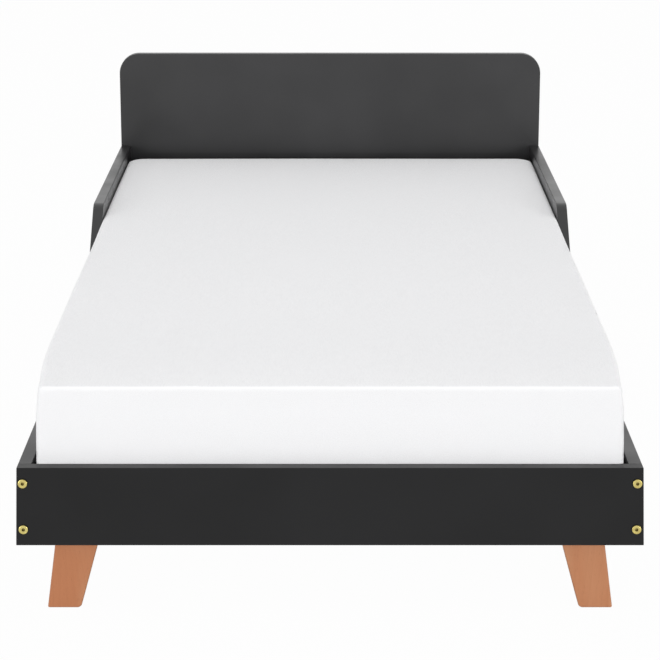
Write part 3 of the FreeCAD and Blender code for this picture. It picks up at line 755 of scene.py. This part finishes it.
def makeSheetForm():
    deselectAll()
    columns, rows = sheetSetup["columns"], sheetSetup["rows"]
    bpy.ops.mesh.primitive_grid_add(
        x_subdivisions=columns, y_subdivisions=rows, size=1, location=(0, 0, 0),
    )
    sheet = bpy.context.object
    sheet.name = "fittedSheet"
    edit = editObject(sheet)
    for point in edit.verts:
        point.co = layOut(point.co)
    bpy.ops.mesh.select_all(action="SELECT")
    bpy.ops.mesh.select_mode(type="EDGE")
    bpy.ops.mesh.region_to_loop()
    reached = 0
    for drop in sheetSetup["drops"]:
        extrudeHem((0, 0, reached - drop))
        reached = drop
    reached = 0
    for turnIn in sheetSetup["turnIns"]:
        scaleX = (mattressSize["half"] - turnIn) / (mattressSize["half"] - reached)
        scaleY = (halfLength - turnIn) / (halfLength - reached)
        extrudeHem((0, 0, 0), (scaleX, scaleY, 1))
        roundOpening(bmesh.from_edit_mesh(sheet.data), turnIn)
        reached = turnIn
    bpy.ops.mesh.select_all(action="SELECT")
    bpy.ops.mesh.normals_make_consistent(inside=False)
    deselectAll()
    applyModifier(sheet, "SUBSURF", levels=1, render_levels=1)
    offset = {"wrap_mode": "ABOVE_SURFACE", "offset": sheetSetup["skinOffset"]}
    applyModifier(sheet, "SHRINKWRAP", target=coreForm, **offset)
    for point in sheet.data.vertices:
        point.co = tightenFront(point.co)
    sheet.data.update()
    normals = [point.normal.copy() for point in sheet.data.vertices]
    moves = [sheetDetail(p.co, normal) for p, normal in zip(sheet.data.vertices, normals)]
    for point, move in zip(sheet.data.vertices, moves):
        point.co += move
        drawFootCorner(point.co)
    return sheet


def makeElastic(sheet):
    # the hem's edge, copied off and carried further in
    setup = elasticSetup
    edit = editObject(sheet)
    bpy.ops.mesh.select_mode(type="EDGE")
    bpy.ops.mesh.select_all(action="DESELECT")
    for edge in edit.edges:
        edge.select = edge.is_boundary
    bmesh.update_edit_mesh(sheet.data)
    bpy.ops.mesh.duplicate()
    bpy.ops.mesh.separate(type="SELECTED")
    bpy.ops.object.mode_set(mode="OBJECT")
    elastic = next(o for o in bpy.context.selected_objects if o != sheet)
    elastic.name = "sheetElastic"
    editObject(elastic)
    bpy.ops.mesh.select_all(action="SELECT")
    bpy.ops.mesh.subdivide(number_cuts=setup["cuts"])
    strip = setup["width"] / setup["strips"]
    turnIn = sheetSetup["turnIns"][-1]
    scale = (1 - strip / (mattressSize["half"] - turnIn), 1 - strip / (halfLength - turnIn), 1)
    for number in range(setup["strips"]):
        extrudeHem((0, 0, 0), scale)
    for point in bmesh.from_edit_mesh(elastic.data).verts:
        point.co.z += setup["puckerRise"] * puckerWave(alongHem(point.co), setup["puckerLength"])
    deselectAll()
    return elastic


def finishCloth(piece, thickness, finish):
    applyModifier(piece, "SOLIDIFY", thickness=thickness, offset=0)
    smoothFaces(piece, degrees=60)
    piece.data.materials.clear()
    piece.data.materials.append(finish)
    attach(piece, "mattress")


fittedSheet = makeSheetForm()
sheetElastic = makeElastic(fittedSheet)
finishCloth(fittedSheet, sheetSetup["thickness"], finishes["whiteCotton"])
finishCloth(sheetElastic, elasticSetup["thickness"], finishes["elasticBand"])
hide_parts("fitted_sheet")
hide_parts("sheet_elastic")
dropPiece(coreForm)
print("fitted sheet and elastic made")


# Camera, floor and lamps

cameraSetup = {
    "place": (0, -3.2927, 1.04895), "downwards": 15.179, "lens": 124.55, "sensor": 36, "farClip": 200,
}

deselectAll()
bpy.ops.object.camera_add(location=cameraSetup["place"])
camera = bpy.context.object
camera.rotation_euler = (math.radians(90 - cameraSetup["downwards"]), 0, 0)
camera.data.sensor_width = cameraSetup["sensor"]
camera.data.lens = cameraSetup["lens"]
camera.data.clip_end = cameraSetup["farClip"]
bpy.context.scene.camera = camera
bpy.context.scene.view_settings.view_transform = "Standard"

stageSetup = {
    "floorSize": 60, "floorColour": (0.5, 0.5, 0.5, 1), "floorRoughness": 0.95, "whiteShare": 0.98,
    "worldLight": 0.5,
}


def seenDirectly(tree):
    # 1 for rays from the camera and for what shows in gloss and glass
    rays = addNode(tree, "LightPath").outputs
    glossy = mathNode(tree, "MAXIMUM", rays["Is Camera Ray"], rays["Is Glossy Ray"])
    return mathNode(tree, "MAXIMUM", glossy, rays["Is Transmission Ray"])


deselectAll()
bpy.ops.mesh.primitive_plane_add(size=stageSetup["floorSize"], location=(0, 0, 0))
floor = bpy.context.object
floor.name = "floor"
floorPaint = bpy.data.materials.new("floorPaint")
floorPaint.use_nodes = True
tree = floorPaint.node_tree
matt = tree.nodes["Principled BSDF"]
matt.inputs["Base Color"].default_value = stageSetup["floorColour"]
matt.inputs["Roughness"].default_value = stageSetup["floorRoughness"]
matt.inputs["Specular IOR Level"].default_value = 0.0
glow = addNode(tree, "Emission", {"Color": (1, 1, 1, 1), "Strength": 1.0})
share = times(tree, seenDirectly(tree), stageSetup["whiteShare"])
mixed = addNode(tree, "MixShader", {0: share, 1: matt.outputs[0], 2: glow.outputs[0]})
tree.links.new(mixed.outputs[0], tree.nodes["Material Output"].inputs["Surface"])
floor.data.materials.append(floorPaint)

world = bpy.data.worlds.new("whiteRoom")
bpy.context.scene.world = world
world.use_nodes = True
tree = world.node_tree
background = tree.nodes["Background"]
background.inputs["Color"].default_value = (1, 1, 1, 1)
strength = rescale(tree, seenDirectly(tree), 0.0, 1.0, stageSetup["worldLight"], 1.0)
feed(tree, background.inputs["Strength"], strength)

lamps = {
    # name: place, what it points at, size, watts
    "keyLamp": ((0.0, -0.4, 2.7), (0, 0.2, 0.2), 2.4, 31),
    "leftLamp": ((-2.8, -3.3, 0.6), (0, -0.2, 0.2), 1.4, 69),
    "rightLamp": ((2.8, -3.3, 0.6), (0, -0.2, 0.2), 1.4, 69),
}
for name, (place, target, size, watts) in lamps.items():
    deselectAll()
    bpy.ops.object.light_add(type="AREA", location=place)
    lamp = bpy.context.object
    lamp.name = name
    lamp.data.size = size
    lamp.data.energy = watts
    lamp.visible_glossy = name != "keyLamp"  # the lacquer doesn't mirror the lamp overhead
    direction = Vector(target) - Vector(place)
    lamp.rotation_euler = direction.to_track_quat("-Z", "Y").to_euler()
print("camera, floor and lamps placed")
